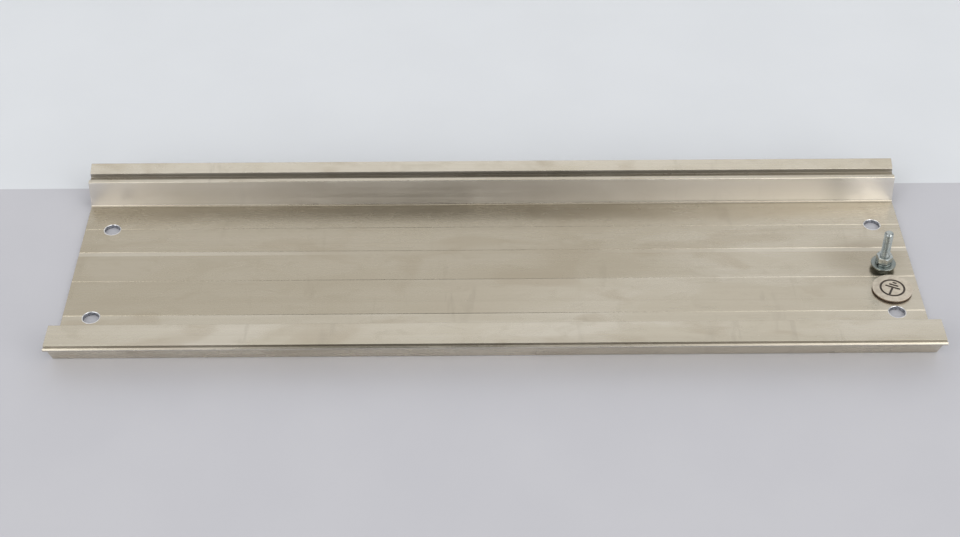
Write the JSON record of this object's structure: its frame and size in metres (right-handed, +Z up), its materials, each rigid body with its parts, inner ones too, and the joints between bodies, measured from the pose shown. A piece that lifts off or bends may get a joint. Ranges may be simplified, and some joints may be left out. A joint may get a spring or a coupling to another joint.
{
  "type": "extruded base channel",
  "caption": "Long shallow aluminium channel with a different hollow rail along each side, corner fixing holes, a threaded earthing stud with a nut stack and a round earth marker.",
  "frame": {"origin": "middle of the length and of the overall width, on the plane that the underside rests on", "axes": "+X along the extrusion towards the end with the earthing stud, +Y from the lipped front rail to the slotted back rail, +Z up out of the tray"},
  "size_m": [0.75, 0.25, 0.0435],
  "materials": {
    "aluminium": "mill finish with lengthwise draw lines",
    "zinc_steel": "bright zinc plate",
    "adhesive": "matt foam",
    "dark_laminate": "satin dark brown",
    "pale_laminate": "satin champagne"
  },
  "bodies": {
    "base": {"base_channel": "aluminium", "earth_stud": "zinc_steel", "jam_nut": "zinc_steel", "marker_pad": "adhesive", "marker_core": "dark_laminate", "marker_face": "pale_laminate"},
    "washers": {"flat_washer": "zinc_steel", "lock_washer": "zinc_steel"},
    "nut": {"hex_nut": "zinc_steel"}
  },
  "joints": [
    {"name": "nut_travel", "type": "slide", "parent": "base", "child": "washers", "axis": [0, 0, 1], "range_m": [0, 0.025]},
    {"name": "nut_turn", "type": "hinge", "parent": "washers", "child": "nut", "pos_m": [0.3485, 0.003, 0.0143], "axis": [0, 0, 1], "range_deg": [0, 7200]}
  ],
  "couplings": [
    {"joint": "nut_travel", "follows": "nut_turn", "m_per_rad": 0.00019894}
  ]
}
